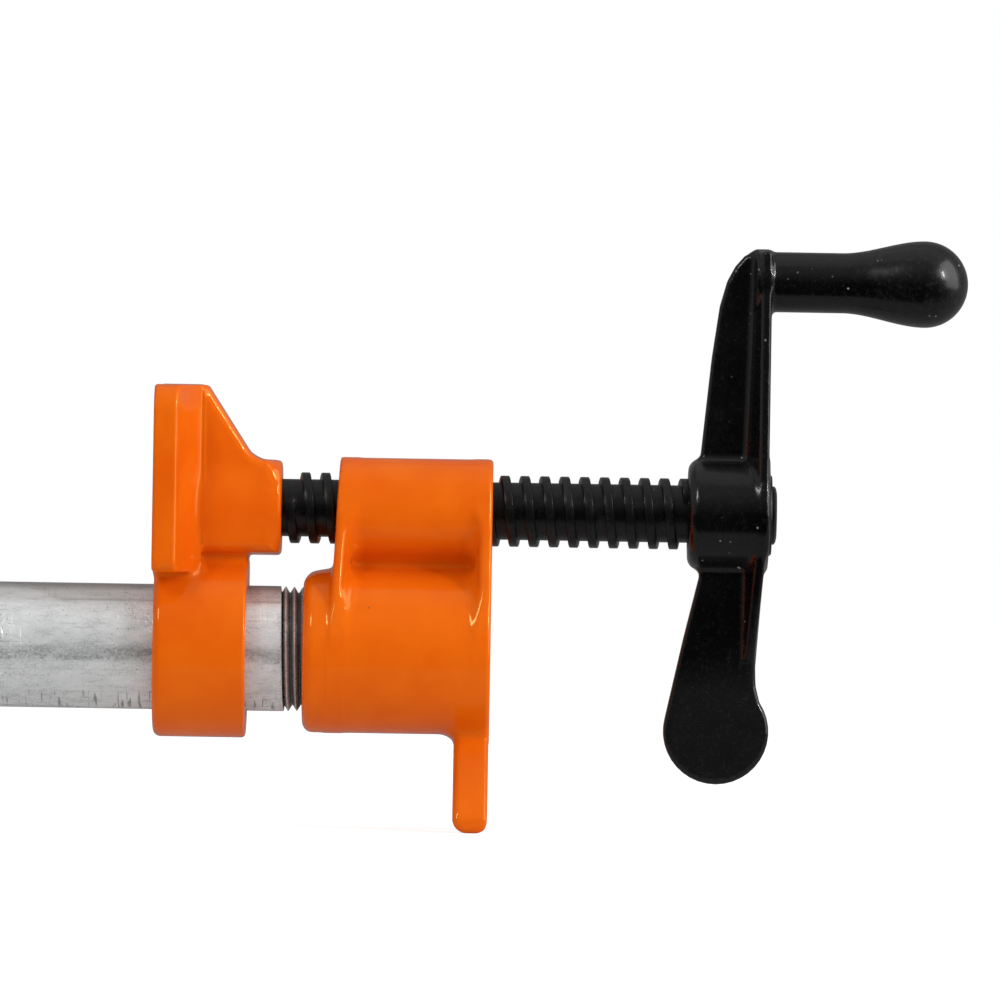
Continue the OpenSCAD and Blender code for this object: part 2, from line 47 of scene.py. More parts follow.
from mathutils import Matrix, Vector

MM = 0.001
MM_PER_M = 1000.0


def corners(node):
    """Lowest and highest corner of a CAD node, in millimetres."""
    low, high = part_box(node)
    return low * MM_PER_M, high * MM_PER_M


# ---------------------------------------------------------------- sizes, in millimetres, from the frame

pipe_low, pipe_high = corners("pipe")
head_low, head_high = corners("head_casting")
jaw_low, jaw_high = corners("jaw_casting")
crank_low, crank_high = corners("crank_casting")
screw_low, screw_high = corners("screw")
tail_low, tail_high = corners("tail_casting")
rivet_washer_low, rivet_washer_high = corners("rivet_washer")

PIPE_R = pipe_high.z
BORE_R = 10.465
SLIDE_R = PIPE_R + 0.4                      # bore of the two rings that slide on the pipe
SCREW_Z = (screw_low.z + screw_high.z) / 2
SCREW_R = (screw_high.z - screw_low.z) / 2
ROOT_R = SCREW_R - 1.45
SCREW_PITCH = 4.233                         # six threads an inch
PIPE_PITCH = 1.814                          # fourteen threads an inch
PIPE_THREAD = 20.0                          # length of the pipe's cut thread
THREAD_DEPTH = 1.25                         # of the pipe's thread
FLOOR_Z = head_low.z


# ---------------------------------------------------------------- camera, floor and light

PHOTO_WIDTH = 212.5 * MM                    # what the picture's width shows at the pipe's axis
CAMERA_AWAY = 2.4                           # metres
VIEW_CENTRE = Vector((41.3 * MM, 0, 32.35 * MM))
CAMERA_ROLL = math.radians(-0.95)           # halfway between the photograph's level pipe and drooping screw
SENSOR = 36.0
SHEET_EDGE = 95.0                           # gloss sees the white sheet up to this far before the clamp
FLOOR_HALF = 4.0                            # metres


def make_camera():
    data = bpy.data.cameras.new("camera")
    camera = bpy.data.objects.new("camera", data)
    bpy.context.collection.objects.link(camera)
    data.sensor_width = SENSOR
    data.lens = SENSOR * CAMERA_AWAY / PHOTO_WIDTH
    data.clip_start = 0.05
    data.clip_end = 30
    camera.location = VIEW_CENTRE + Vector((0, -CAMERA_AWAY, 0))
    camera.rotation_euler = (math.pi / 2, CAMERA_ROLL, 0)
    bpy.context.scene.camera = camera


# ---------------------------------------------------------------- node trees

class Wire:
    """A socket's output. Python's operators on it add the Math nodes that work the expression out."""

    def __init__(self, tree, socket):
        self.tree = tree
        self.socket = socket

    def math(self, operation, first, second):
        return self.tree.node("ShaderNodeMath", {"operation": operation}, {0: first, 1: second})

    def __add__(self, other):
        return self.math("ADD", self, other)

    def __sub__(self, other):
        return self.math("SUBTRACT", self, other)

    def __rsub__(self, other):
        return self.math("SUBTRACT", other, self)

    def __mul__(self, other):
        return self.math("MULTIPLY", self, other)

    def __truediv__(self, other):
        return self.math("DIVIDE", self, other)

    def __gt__(self, other):
        return self.math("GREATER_THAN", self, other)

    def __lt__(self, other):
        return self.math("LESS_THAN", self, other)

    __radd__ = __add__
    __rmul__ = __mul__


class Tree:
    """A node tree of a material or of the world, and the one place where its nodes are made."""

    def __init__(self, owner):
        owner.use_nodes = True
        self.nodes = owner.node_tree.nodes
        self.links = owner.node_tree.links
        self.nodes.clear()

    def node(self, kind, settings=None, sockets=None, out=0):
        """Adds a node. Settings are set first, then its sockets get values or links."""
        made = self.nodes.new(kind)
        for name, value in (settings or {}).items():
            if name == "stops":
                self.set_stops(made.color_ramp, value)
            else:
                setattr(made, name, value)
        for name, value in (sockets or {}).items():
            if isinstance(value, Wire):
                self.links.new(value.socket, made.inputs[name])
            else:
                made.inputs[name].default_value = value
        return Wire(self, made.outputs[out]) if made.outputs else made

    def set_stops(self, ramp, stops):
        while len(ramp.elements) < len(stops):
            ramp.elements.new(1.0)
        for element, (place, level) in zip(ramp.elements, stops):
            element.position = place
            element.color = (level, level, level, 1)

    def place(self):
        """Position on the object, in metres, which stays with the piece when it moves."""
        return self.node("ShaderNodeTexCoord", out="Object")

    def stretched(self, vector, scale):
        return self.node("ShaderNodeVectorMath", {"operation": "MULTIPLY"}, {0: vector, 1: scale})

    def part(self, vector, axis):
        return self.node("ShaderNodeSeparateXYZ", None, {0: vector}, out=axis)

    def noise(self, vector, scale, detail=3.0, roughness=0.5):
        return self.node("ShaderNodeTexNoise", None, {
            "Vector": vector, "Scale": scale, "Detail": detail, "Roughness": roughness})

    def streaks(self, vector, scale, detail, roughness, low, high):
        """Patches of a noise with its own scale for each axis, from 0 below low to 1 above high."""
        return self.rise(self.noise(self.stretched(vector, scale), 1, detail, roughness), low, high)

    def cells(self, vector, scale, out="Distance"):
        return self.node("ShaderNodeTexVoronoi", None, {"Vector": vector, "Scale": scale}, out=out)

    def ramp(self, value, stops):
        """Level from 0 to 1 by the stops, given as (place, level)."""
        return self.node("ShaderNodeValToRGB", {"stops": stops}, {0: value})

    def rise(self, value, low, high):
        """0 up to low, 1 from high on, and a straight climb between them."""
        return self.ramp(value, [(low, 0.0), (high, 1.0)])

    def fall(self, value, low, high):
        """1 up to low, 0 from high on, and a straight descent between them."""
        return self.ramp(value, [(low, 1.0), (high, 0.0)])

    def mix(self, share, first, second):
        return self.node("ShaderNodeMix", {"data_type": "RGBA"}, {
            0: share, 6: colour(first), 7: colour(second)}, out=2)

    def bump(self, height, depth, strength, under=None):
        sockets = {"Height": height, "Distance": depth, "Strength": strength}
        if under is not None:
            sockets["Normal"] = under
        return self.node("ShaderNodeBump", None, sockets)


def colour(value):
    return (*value, 1) if isinstance(value, tuple) and len(value) == 3 else value


class Finish(Tree):
    """A material. shader() closes it with the surface's fixed numbers and what varies over it."""

    def __init__(self, name):
        self.material = bpy.data.materials.new(name)
        super().__init__(self.material)

    def shader(self, **sockets):
        named = {name.replace("_", " "): colour(value) for name, value in sockets.items()}
        surface = self.node("ShaderNodeBsdfPrincipled", None, named)
        self.node("ShaderNodeOutputMaterial", None, {"Surface": surface})
        return self.material


# ---------------------------------------------------------------- finishes

HANDLED_LENGTH = 22.0                       # of the knob's end, dulled by hands


def orange_enamel():
    """Thick dipped enamel over cast iron: orange-peel, a slow waviness, thin and thick areas, specks."""
    f = Finish("orange_enamel")
    place = f.place()
    sag = f.noise(place, 38, 2)
    peel = f.noise(place, 420, 2)
    grain = f.noise(place, 2600, 2, 0.6)
    speck = f.fall(f.cells(place, 190), 0.035, 0.06) * f.rise(f.noise(place, 60, 2), 0.56, 0.62)
    tone = f.mix(f.rise(sag, 0.3, 0.7), (0.72, 0.098, 0.002), (0.79, 0.122, 0.003))
    thin = f.ramp(f.noise(place, 110, 4), [(0.35, 0.0), (0.75, 0.5)])
    tone = f.mix(thin, tone, (0.84, 0.160, 0.005))
    tone = f.mix(speck * 0.75, tone, (0.14, 0.025, 0.01))
    normal = f.bump(sag, 0.0011, 0.25)
    normal = f.bump(f.noise(place, 150, 2), 0.00035, 0.2, normal)
    normal = f.bump(peel, 0.00008, 0.3, normal)
    normal = f.bump(speck, 0.0001, 0.4, normal)
    rough = 0.09 + 0.06 * grain + 0.3 * speck
    return f.shader(Base_Color=tone, Roughness=rough, Normal=normal, Coat_Weight=0.06,
                    Coat_Roughness=0.03, Specular_IOR_Level=0.45, Specular_Tint=(0.85, 1.0, 0.3))


def black_enamel():
    """Thin black enamel on the crank: dusty, with pinpricks, pale nicks and a few rusty chips, and painted
    light that makes the paddle a little paler than the arm.
    """
    f = Finish("black_enamel")
    place = f.place()
    peel = f.noise(place, 240, 4, 0.6)
    wave = f.noise(place, 55, 2)
    dust = f.rise(f.noise(place, 900, 5, 0.75), 0.52, 0.74)
    handled = f.rise(f.part(place, "X") * MM_PER_M - (crank_high.x - HANDLED_LENGTH), 0.0, 1.0)
    few = f.rise(f.cells(place, 520, out="Color"), 0.60, 0.66)
    often = f.noise(place, 95, 3, 0.6) + 0.08 * handled
    nick = f.fall(f.cells(place, 520), 0.09, 0.15) * few * f.rise(often, 0.5, 0.62)
    chip = f.rise(f.noise(place, 150, 5, 0.7), 0.68, 0.71)
    # painted light: the paddle, below the hub, is painted a little paler than the recessed arm, standing in
    # for the light it catches
    paddle = f.rise(f.part(place, "Z") * MM_PER_M / crank_low.z, 0.0, 0.3)
    dull = (0.30, 0.30, 0.31)
    tone = f.mix(f.rise(wave, 0.3, 0.7), (0.0010, 0.0011, 0.0014), (0.0030, 0.0031, 0.0037))
    # the paddle's painted light uses the same pale grey as the real dust below
    tone = f.mix(paddle * 0.014, tone, dull)
    tone = f.mix(dust * (0.012 + 0.03 * handled), tone, dull)
    tone = f.mix(nick * 0.7, tone, (0.38, 0.35, 0.33))
    tone = f.mix(chip * 0.3, tone, (0.07, 0.05, 0.04))
    normal = f.bump(wave, 0.0012, 0.35)
    normal = f.bump(peel, 0.00022, 0.35, normal)
    normal = f.bump(nick + chip, -0.0001, 0.5, normal)
    rough = 0.15 + 0.14 * f.rise(peel, 0.3, 0.8) + 0.25 * nick + 0.2 * dust + 0.08 * handled
    return f.shader(Base_Color=tone, Roughness=rough, Normal=normal, Coat_Weight=0.25,
                    Coat_Roughness=0.1, Specular_IOR_Level=0.4)


def black_oxide():
    """Blackened, oiled steel of the screw: turning marks, worn brown-grey patches, lint."""
    f = Finish("black_oxide")
    place = f.place()
    turned = f.noise(f.stretched(place, (3200, 160, 160)), 1, 3, 0.6)
    worn = f.rise(f.noise(place, 210, 5, 0.7), 0.52, 0.75)
    lint = f.fall(f.cells(place, 620), 0.06, 0.1) * f.rise(f.cells(place, 620, out="Color"), 0.84, 0.88)
    tone = f.mix(worn * 0.5, (0.006, 0.006, 0.0065), (0.040, 0.034, 0.030))
    tone = f.mix(lint * 0.5, tone, (0.32, 0.31, 0.30))
    rough = 0.22 + 0.14 * f.rise(turned, 0.3, 0.7) + 0.15 * worn
    normal = f.bump(turned, 0.00004, 0.4)
    normal = f.bump(f.noise(place, 500, 4, 0.65), 0.00008, 0.35, normal)
    return f.shader(Base_Color=tone, Roughness=rough, Normal=normal, Metallic=0.35,
                    Specular_IOR_Level=0.6)


def galvanised():
    """Zinc on the pipe, with spangle, stains and pits, under the marks of drawing and a painted dark
    reflection band, and bare cut threads with painted shade in their roots.
    """
    f = Finish("galvanised_pipe")
    place = f.place()
    grain = f.noise(place, 2100, 4, 0.7)
    mottle = f.noise(f.stretched(place, (0.34, 1.0, 1.0)), 420, 7, 0.75)
    fleck = f.rise(grain, 0.53, 0.61) * f.streaks(place, (45, 150, 150), 4, 0.65, 0.50, 0.66)
    pits = f.fall(f.cells(place, 900), 0.10, 0.17) * f.rise(f.noise(place, 210, 3, 0.6), 0.50, 0.58)
    scuff = f.streaks(place, (1500, 110, 110), 2, 0.5, 0.60, 0.64)
    scuff = scuff * f.streaks(place, (60, 120, 120), 3, 0.5, 0.42, 0.5)
    thread = bare_thread(f, place)
    cut_head = f.part(place, "X") > (pipe_high.x - PIPE_THREAD + 0.3) * MM
    cut_tail = f.part(place, "X") < (pipe_low.x + PIPE_THREAD - 0.3) * MM
    cut = cut_head + cut_tail
    tone = zinc_tone(f, place, mottle)
    tone = drawn_marks_and_painted_reflection(f, place, tone, grain, fleck, scuff)
    tone = f.mix(pits * 0.75, tone, (0.12, 0.12, 0.12))
    tone = f.mix(cut, tone, thread)
    normal = f.bump(mottle, 0.00007, 0.6)
    normal = f.bump(grain, 0.00003, 0.7, normal)
    normal = f.bump(pits + scuff, -0.00006, 0.7, normal)
    rough = 0.22 + 0.2 * f.rise(mottle, 0.3, 0.8) + 0.15 * fleck - 0.02 * cut
    return f.shader(Base_Color=tone, Roughness=rough, Normal=normal, Metallic=0.43 + 0.1 * cut)


def zinc_tone(f, place, mottle):
    """Pale zinc: mottled, with spangle and dark salt-like grains."""
    tone = f.mix(f.rise(mottle, 0.35, 0.65), (0.68, 0.72, 0.72), (0.98, 1.0, 1.0))
    spangle = f.cells(f.stretched(place, (0.34, 1.0, 1.0)), 340, out="Color")
    tone = f.mix(f.ramp(spangle, [(0.2, 0.0), (0.9, 0.3)]), tone, (0.92, 0.94, 0.94))
    salt = f.ramp(f.noise(place, 4200, 2, 0.6), [(0.34, 0.3), (0.45, 0.0)])
    return f.mix(salt, tone, (0.20, 0.21, 0.21))


def drawn_marks_and_painted_reflection(f, place, tone, grain, fleck, scuff):
    """Dust on top, marks along the pipe, darker lines along its very top and bottom, and a painted
    reflection: a dark band along the middle of the side with -Y. Lines and bands lie at set heights, on the
    side with -Y.
    """
    wavy = f.noise(f.stretched(place, (30, 60, 60)), 1, 4, 0.6) * 0.0008
    height = (f.part(place, "Z") + wavy) / (PIPE_R * MM)
    level = height * 0.5 + 0.5
    front = f.part(place, "Y") < 0.0
    tone = f.mix(f.rise(level, 0.84, 0.9) * 0.35, tone, (0.36, 0.33, 0.30))
    broken = f.streaks(place, (90, 400, 400), 3, 0.6, 0.36, 0.5)
    for mark, width, share in ((0.77, 0.03, 0.5), (-0.34, 0.012, 0.3), (-0.69, 0.012, 0.32)):
        off = f.node("ShaderNodeMath", {"operation": "ABSOLUTE"}, {0: height - mark})
        line = f.fall(off / width, 0.0, 1.0) * front
        tone = f.mix(line * broken * share, tone, (0.30, 0.25, 0.22))
    # painted reflection: a dark band along the middle of the side facing -Y, where the pipe faces the dim
    # room, made patchy by the grain
    painted_reflection_band = f.ramp(level, [(0.385, 0.0), (0.42, 1.0), (0.50, 1.0), (0.54, 0.0)]) * front
    uneven = f.ramp(f.noise(f.stretched(place, (70, 300, 300)), 1, 4, 0.65), [(0.36, 0.15), (0.6, 1.0)])
    reflection_band_grain = f.ramp(grain, [(0.40, 0.12), (0.56, 0.7)])
    tone = f.mix(painted_reflection_band * uneven * reflection_band_grain, tone, (0.17, 0.18, 0.19))
    # darker along the pipe's very top and bottom, all the way round
    top_and_bottom_darkening = f.ramp(level, [(0.0, 1.0), (0.012, 0.6), (0.04, 0.0), (0.955, 0.0), (0.985, 0.7), (1.0, 1.0)])
    tone = f.mix(top_and_bottom_darkening * 0.55, tone, (0.16, 0.15, 0.14))
    tone = f.mix(fleck * 0.5, tone, (0.16, 0.17, 0.175))
    drag = f.streaks(place, (38, 1900, 1900), 3, 0.6, 0.64, 0.70) * f.rise(f.noise(place, 75, 2), 0.46, 0.58)
    tone = f.mix(drag * 0.4, tone, (0.26, 0.26, 0.25))
    low_band = f.ramp(level, [(0.02, 0.0), (0.04, 1.0), (0.14, 1.0), (0.17, 0.0)]) * front
    return f.mix(scuff * low_band * 0.7, tone, (0.14, 0.15, 0.15))


def bare_thread(f, place):
    """Bare steel of the cut threads: bright on the crests, with painted shade that darkens the roots."""
    radius = f.node("ShaderNodeVectorMath", {"operation": "LENGTH"},
                    {0: f.stretched(place, (0.0, MM_PER_M, MM_PER_M))}, out=1)
    depth = (PIPE_R - radius) / THREAD_DEPTH
    worn = f.noise(place, 500, 5, 0.7)
    # painted shade: the deeper into the thread, the darker, from the crests' bare steel down to the roots
    crest = f.ramp(depth + (worn - 0.5) * 0.5, [(0.02, 1.0), (0.3, 0.35), (0.9, 0.05)])
    return f.mix(crest, (0.10, 0.088, 0.082), (0.84, 0.83, 0.81))


def plated(name, tint, cloud_scale):
    """Zinc-plated or plain steel of the small stampings: rolled grain, faint stains, scuffs."""
    f = Finish(name)
    place = f.place()
    grain = f.noise(f.stretched(place, (700, 2600, 240)), 1, 4, 0.65)
    cloud = f.noise(place, cloud_scale, 5, 0.7)
    scuff = f.streaks(place, (300, 300, 2400), 3, 0.7, 0.6, 0.7)
    dull = tuple(channel * 0.62 for channel in tint)
    tone = f.mix(f.rise(cloud, 0.3, 0.75), dull, tint)
    tone = f.mix(scuff * 0.3, tone, (0.85, 0.85, 0.84))
    normal = f.bump(grain, 0.00002, 0.4)
    rough = 0.28 + 0.22 * f.fall(cloud, 0.3, 0.8) + 0.1 * grain
    return f.shader(Base_Color=tone, Roughness=rough, Normal=normal, Metallic=0.95)


def make_floor(material):
    mesh = bpy.data.meshes.new("studio_floor")
    half, z = FLOOR_HALF, FLOOR_Z * MM
    mesh.from_pydata([(-half, -half, z), (half, -half, z), (half, half, z), (-half, half, z)], [],
                     [(0, 1, 2, 3)])
    mesh.materials.append(material)
    floor = bpy.data.objects.new("studio_floor", mesh)
    bpy.context.collection.objects.link(floor)


def floor_paper():
    """White paper that fades into the background: it shines a little for the camera, and in gloss it is
    only a dim sheet under the clamp, dark before its edge."""
    f = Finish("white_paper")
    seen = f.node("ShaderNodeLightPath", out="Is Camera Ray")
    mirrored = f.node("ShaderNodeLightPath", out="Is Glossy Ray")
    paper = f.node("ShaderNodeBsdfDiffuse", None, {
        "Color": f.mix(seen, (0.85, 0.85, 0.85), (0.5, 0.5, 0.5))})
    white = f.node("ShaderNodeEmission", None, {"Color": (1, 1, 1, 1), "Strength": seen * 0.72})
    near = f.part(f.place(), "Y") > -SHEET_EDGE * MM
    dim = f.node("ShaderNodeEmission", None, {"Color": (1, 1, 1, 1), "Strength": near * 0.25})
    both = f.node("ShaderNodeAddShader", None, {0: paper, 1: white})
    shown = f.node("ShaderNodeMixShader", None, {0: mirrored, 1: both, 2: dim})
    f.node("ShaderNodeOutputMaterial", None, {"Surface": shown})
    return f.material


def make_world():
    """The camera sees white. Gloss sees a dim room, lighter overhead, at the left and behind. All other
    light comes from everywhere, a little more of it from above."""
    world = bpy.data.worlds.new("studio")
    bpy.context.scene.world = world
    t = Tree(world)
    toward = t.node("ShaderNodeTexCoord", out="Generated")
    front = t.part(toward, "Y")
    height = t.part(toward, "Z")
    behind = t.rise(front * 0.5 + 0.5, 0.52, 0.66)
    overhead = t.ramp(height * 0.5 + 0.5, [(0.50, 0.0), (0.66, 0.1), (0.85, 0.24), (1.0, 0.28)])
    left = t.ramp(t.part(toward, "X") * 0.5 + 0.5, [(0.03, 0.3), (0.2, 0.0)])
    room = t.mix(behind, overhead + left, (0.22, 0.22, 0.22))
    mirrored = t.node("ShaderNodeLightPath", out="Is Glossy Ray")
    seen = t.node("ShaderNodeLightPath", out="Is Camera Ray")
    around = t.ramp(height * 0.5 + 0.5, [(0.0, 0.4), (0.5, 0.55), (0.65, 0.62), (1.0, 0.65)])
    level = t.mix(mirrored, around, room)
    level = t.mix(seen, level, (1.0, 1.0, 1.0))
    both = t.node("ShaderNodeBackground", None, {0: level, 1: 1.0})
    t.node("ShaderNodeOutputWorld", None, {0: both})


def softbox(name, place, aim, width, height, watts):
    data = bpy.data.lights.new(name, "AREA")
    data.shape = "RECTANGLE"
    data.size = width
    data.size_y = height
    data.energy = watts
    lamp = bpy.data.objects.new(name, data)
    bpy.context.collection.objects.link(lamp)
    lamp.location = place
    lamp.rotation_euler = (Vector(aim) - Vector(place)).to_track_quat("-Z", "Y").to_euler()


def make_lights():
    aim = (0.03, 0, 0.02)
    softbox("left_softbox", (-0.55, -0.75, 0.75), aim, 0.13, 0.3, 2.2)
    softbox("key_strip", (0.9, -0.6, 0.52), aim, 0.02, 0.3, 3.5)
    softbox("side_softbox", (1.05, -0.2, 0.28), aim, 0.75, 1.5, 8.3)
    softbox("top_softbox", (0.05, 0.05, 1.1), aim, 1.3, 1.0, 0.7)


# ---------------------------------------------------------------- shapes as distance fields, in millimetres

def rod(a, b, radius):
    """Distance to a long round rod, from the two offsets from its axis."""
    return np.sqrt(a * a + b * b) - radius


def between(value, low, high):
    """Distance to the slab from low to high."""
    return np.abs(value - (low + high) / 2) - (high - low) / 2


def join(a, b, fillet):
    """Both shapes, with a fillet of that radius in the corner between them."""
    u = np.maximum(fillet - a, 0)
    v = np.maximum(fillet - b, 0)
    return np.maximum(np.minimum(a, b), fillet) - np.sqrt(u * u + v * v)


def trim(a, b, edge):
    """What both shapes hold, with its edge rounded to that radius."""
    u = np.maximum(edge + a, 0)
    v = np.maximum(edge + b, 0)
    return np.minimum(np.maximum(a, b), -edge) + np.sqrt(u * u + v * v)


def cut(a, b, edge):
    """The first shape without the second, with a rounded edge."""
    return trim(a, -b, edge)


def outline(a, b, points):
    """Distance to a closed polygon in the plane of a and b: negative inside it."""
    nearest = None
    sign = None
    count = len(points)
    for i in range(count):
        (ax, ay), (bx, by) = points[i], points[i - 1]
        ex, ey = bx - ax, by - ay
        wx, wy = a - ax, b - ay
        share = np.clip((wx * ex + wy * ey) / (ex * ex + ey * ey), 0, 1)
        dx, dy = wx - ex * share, wy - ey * share
        square = dx * dx + dy * dy
        above, below = (b >= ay), (b < by)
        left = (ex * wy > ey * wx)
        flip = (above & below & left) | (~above & ~below & ~left)
        turn = np.where(flip, -1.0, 1.0)
        nearest = square if nearest is None else np.minimum(nearest, square)
        sign = turn if sign is None else sign * turn
    return sign * np.sqrt(nearest)


def arc(centre, radius, start, end, steps=8):
    """Points along a round stretch of an outline."""
    angles = [math.radians(start + (end - start) * i / steps) for i in range(steps + 1)]
    return [(centre[0] + radius * math.cos(t), centre[1] + radius * math.sin(t)) for t in angles]


def strap(a, b, low_r, high_r, rise):
    """Distance to a plate outline round two circles, one at the axis and one that much higher."""
    side = np.abs(a)
    lean = (low_r - high_r) / rise
    upright = math.sqrt(1 - lean * lean)
    along = upright * b - lean * side
    round_low = np.sqrt(side * side + b * b) - low_r
    round_high = np.sqrt(side * side + (b - rise) ** 2) - high_r
    flat = upright * side + lean * b - low_r
    return np.where(along < 0, round_low, np.where(along > upright * rise, round_high, flat))


def box_outline(a, b, half_width, bottom, top, r_low, r_high):
    """Distance to an upright rectangle about a = 0, with its own corner radii below and above."""
    middle, half = (bottom + top) / 2, (top - bottom) / 2
    r = np.where(b > middle, r_high, r_low)
    qa = np.abs(a) - half_width + r
    qb = np.abs(b - middle) - half + r
    return np.minimum(np.maximum(qa, qb), 0) + np.sqrt(np.maximum(qa, 0) ** 2 + np.maximum(qb, 0) ** 2) - r


def smooth(share):
    """Share from 0 to 1 with a level start and a level end."""
    return share * share * (3 - 2 * share)


def add_piece(mesh, name, material, body, node):
    """Puts a finished mesh in the scene, riding on its body in place of its CAD node."""
    mesh.materials.append(material)
    piece = bpy.data.objects.new(name, mesh)
    bpy.context.collection.objects.link(piece)
    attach(piece, body)
    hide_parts(node)


def solid_mesh(name, field, low, high, step):
    """Meshes a distance field, moves each point onto the true surface, and gives it the surface's normal."""
    margin = 2 * step
    axes = [np.arange(low[i] - margin, high[i] + margin, step) for i in range(3)]
    x, y, z = np.meshgrid(*axes, indexing="ij", sparse=True)
    values = np.broadcast_to(field(x, y, z), [len(a) for a in axes])
    grid = openvdb.FloatGrid(4 * step)
    grid.copyFromArray(np.ascontiguousarray(np.clip(values, -4 * step, 4 * step), dtype=np.float32))
    points, quads = grid.convertToQuads(isovalue=0.0)
    points = points.astype(float) * step + np.array([a[0] for a in axes])
    nudge = 0.02

    def at(p):
        return field(p[:, 0], p[:, 1], p[:, 2])

    def slope(p):
        rises = [(at(p + nudge * side) - at(p - nudge * side)) / (2 * nudge) for side in np.eye(3)]
        return np.stack(rises, axis=1)

    for _ in range(3):
        rise = slope(points)
        size = np.maximum((rise * rise).sum(axis=1), 0.05)
        move = -at(points) / size
        points = points + rise * np.clip(move, -step / 2, step / 2)[:, None]
    normals = slope(points)
    normals /= np.maximum(np.linalg.norm(normals, axis=1), 1e-6)[:, None]
    quads = quads.astype(int)
    a, b, c = (points[quads[:, i]] for i in range(3))
    facing = (np.cross(b - a, c - a) * normals[quads[:, 0]]).sum()
    if facing < 0:
        quads = quads[:, ::-1]
    mesh = bpy.data.meshes.new(name)
    mesh.from_pydata((points * MM).tolist(), [], quads.tolist())
    mesh.shade_smooth()
    mesh.normals_split_custom_set_from_vertices(normals.tolist())
    return mesh


# ---------------------------------------------------------------- the castings

CAST_STEP = 0.6                             # spacing of the grid that the castings are meshed on
SOCKET_R = 17.735
NUT_R = 10.95
FLANGE_LIFT = 0.35                          # how far the head's flanges stand out beside the socket
FOOT_T = 7.6
JAW_RIB_HALF = 9.3
JAW_NECK_HALF = 6.2
JAW_BOSS_R = 10.15
BOSS_SHORT = 0.45                           # keeps the jaw's boss clear of the nut with the jaw fully back
RECESS_R = 8.0                              # round the screw's nose, in the jaw's face
RECESS_DEPTH = 5.4
NECK_FLOOR = RECESS_DEPTH + 4.6             # end of the screw's neck in the jaw, from the jaw's face
NOSE_HOLE_R = 4.15


def foot_field(x, y, z, near, top, thick=FOOT_T):
    """Foot with two toes under a casting: it flares downwards, with an arch between the toes."""
    half_low, arch = 19.0, 9.5
    waist, waist_z = 7.1, -17.7
    toe_top = FLOOR_Z + 3
    side = np.abs(y)
    slope = (half_low - waist) / (waist_z - toe_top)
    flare = (side - half_low + slope * np.maximum(z - toe_top, 0)) / math.hypot(1, slope)
    sides = trim(flare, side - half_low, 1.5)
    arched = cut(sides, rod(y, z - FLOOR_Z, arch), 1.4)
    leg = trim(arched, z - top, 0.5)
    plate = trim(between(x, near, near + thick), FLOOR_Z - z, 3.1)
    return trim(leg, plate, 1.5)


def head_field(x, y, z):
    """Head: threaded socket below, nut above, and between them a pocket with a flange at each end."""
    length = head_high.x
    up = z - SCREW_Z
    nut_face = 6.2 + 0.05 * (z - 18)
    shoulder = 0.96 * (z - 17.8) - 0.28 * (x - 6.0)
    socket = trim(trim(rod(y, z, SOCKET_R), shoulder, 1.5), -x, 2.4)
    nut = trim(rod(y, up, NUT_R), nut_face - x, 0.9)
    bridge = trim(np.maximum(between(z, 12, SCREW_Z), np.abs(y) - 2.6), nut_face - x + 1.0, 0.9)
    lift = FLANGE_LIFT * smooth(np.clip(z / 6, 0, 1))
    strap_edge = strap(y, z, SOCKET_R + 0.05, NUT_R - FLANGE_LIFT, SCREW_Z) - lift
    inward = np.clip(-strap_edge, 0, 5)
    front = trim(strap_edge + 0.1, (x - nut_face - 2.0 - 0.32 * inward) * 0.94, 0.8)
    front = trim(front, nut_face - x, 1.2)
    rear = trim(strap_edge + 0.1, (length - 2.4 - 0.25 * inward - x) * 0.96, 0.9)
    fillet = 1.0 + 2.2 * np.clip((x - nut_face) / 3, 0, 1)
    shape = join(join(socket, bridge, 1.5), nut, 2.4)
    shape = join(join(shape, front, fillet), rear, 2.6)
    shape = trim(shape, strap_edge, 0.3)
    shape = trim(shape, np.minimum(nut_face - x, z - SOCKET_R - 0.6), 0.3)
    # the foot reaches past the rear face, so that the next trim leaves the two flush
    shape = join(shape, foot_field(x, y, z, length - 7.5, -6.0, FOOT_T + 0.25), 3.4)
    shape = trim(shape, x - length, 0.9)
    thread_r = 13.6 - np.clip(x, -2, 20) / 32
    shape = cut(shape, rod(y, z, thread_r) + np.maximum(x - 17.5, 0), 0.7)
    shape = cut(shape, rod(y, z, 10.8), 0.6)
    return cut(shape, rod(y, up, SCREW_R + 0.2), 0.6)


def pad_field(s, y, z):
    """Jaw pad with its face at s = 0: rounded outline, and a back hollowed out up to the rib's side."""
    top, bottom, half = jaw_high.z, PIPE_R + 2.6, jaw_high.y
    thin, thick, bend = 5.3, 10.4, 1.25
    deep, wide = thick - thin, half - JAW_RIB_HALF
    back = np.maximum(thick - s, 0) / deep
    out = np.clip((half - np.abs(y)) / wide, 0, None)
    reach = (back ** bend + out ** bend) ** (1 / bend)
    steep = np.hypot(back ** (bend - 1) / deep, out ** (bend - 1) / wide)
    hollow = (reach - 1) / np.maximum(steep, 0.08)
    edge = box_outline(y, z, half, bottom, top, 2.5, 6.0)
    return trim(trim(edge, -s, 0.9), np.maximum(s - thick, -hollow), 0.8)


def rib_field(s, y, z, points, half, edge):
    """Plate with a polygon for its side view, and half as its half thickness."""
    return trim(outline(s, z, points), np.abs(y) - half, edge)


def ring_field(s, y, z, radius, low, high, rim_low, rim_high):
    """Solid round length from low to high on the pipe's axis, with its own rounding at each end."""
    return trim(trim(rod(y, z, radius), low - s, rim_low), s - high, rim_high)


